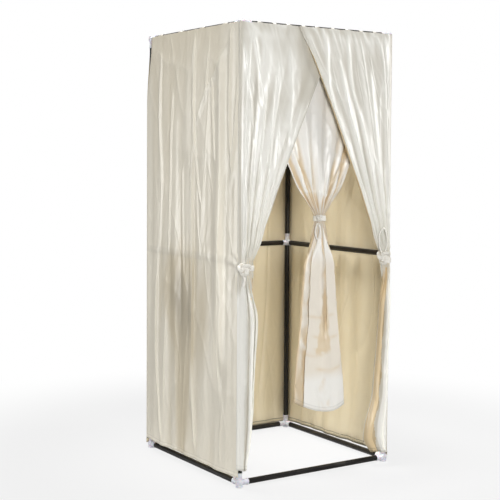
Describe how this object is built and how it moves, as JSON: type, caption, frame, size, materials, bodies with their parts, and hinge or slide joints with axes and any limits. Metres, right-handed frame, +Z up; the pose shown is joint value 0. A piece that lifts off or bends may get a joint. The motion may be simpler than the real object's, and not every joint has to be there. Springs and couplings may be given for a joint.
{
  "type": "portable fitting room",
  "caption": "Square free-standing changing cubicle: a plug-together tube frame hung with ivory cloth walls, two flaps tied back to the posts and a centre curtain tied in its middle.",
  "frame": {"origin": "on the floor under the middle of the whole room's box, knots and folds included; the middle of the four posts lies 20.6 mm behind it and 6.2 mm to its right", "axes": "+Z up, -Y out through the doorway, +X to the right for someone who faces the doorway's inside"},
  "size_m": [0.8632, 0.892, 2.0015],
  "materials": {
    "tube": "satin black",
    "connector": "milky white moulded plastic",
    "cloth": "ivory satin"
  },
  "bodies": {
    "frame": {"bottom_connector_front_left": "connector", "bottom_connector_front_right": "connector", "bottom_connector_back_left": "connector", "bottom_connector_back_right": "connector", "mid_connector_front_left": "connector", "mid_connector_front_right": "connector", "mid_connector_back_left": "connector", "mid_connector_back_right": "connector", "top_connector_front_left": "connector", "top_connector_front_right": "connector", "top_connector_back_left": "connector", "top_connector_back_right": "connector", "bottom_rail_front": "tube", "bottom_rail_back": "tube", "bottom_rail_left": "tube", "bottom_rail_right": "tube", "mid_rail_back": "tube", "mid_rail_left": "tube", "mid_rail_right": "tube", "top_rail_front": "tube", "top_rail_back": "tube", "top_rail_left": "tube", "top_rail_right": "tube", "lower_post_front_left": "tube", "lower_post_front_right": "tube", "lower_post_back_left": "tube", "lower_post_back_right": "tube", "upper_post_front_left": "tube", "upper_post_front_right": "tube", "upper_post_back_left": "tube", "upper_post_back_right": "tube", "left_wall": "cloth", "back_wall": "cloth", "right_wall": "cloth", "left_flap": "cloth", "right_flap": "cloth", "left_tie": "cloth", "right_tie": "cloth"},
    "inner_curtain": {"inner_curtain": "cloth", "inner_tie": "cloth"},
    "inner_tail": {"inner_tail": "cloth", "inner_tie_loop": "cloth"},
    "left_tail": {"left_tail": "cloth"},
    "right_tail": {"right_tail": "cloth"}
  },
  "joints": [
    {"name": "inner_curtain_swing", "type": "hinge", "parent": "frame", "child": "inner_curtain", "pos_m": [0.00624, -0.37944, 1.985], "axis": [1, 0, 0], "range_deg": [0, 18]},
    {"name": "inner_tail_swing", "type": "hinge", "parent": "inner_curtain", "child": "inner_tail", "pos_m": [0.04324, -0.35119, 1.138], "axis": [1, 0, 0], "range_deg": [-12, 12]},
    {"name": "left_tail_swing", "type": "hinge", "parent": "frame", "child": "left_tail", "pos_m": [-0.37826, -0.41019, 0.937], "axis": [-1, 0, 0], "range_deg": [0, 25]},
    {"name": "right_tail_swing", "type": "hinge", "parent": "frame", "child": "right_tail", "pos_m": [0.37924, -0.41019, 0.937], "axis": [-1, 0, 0], "range_deg": [0, 25]}
  ]
}
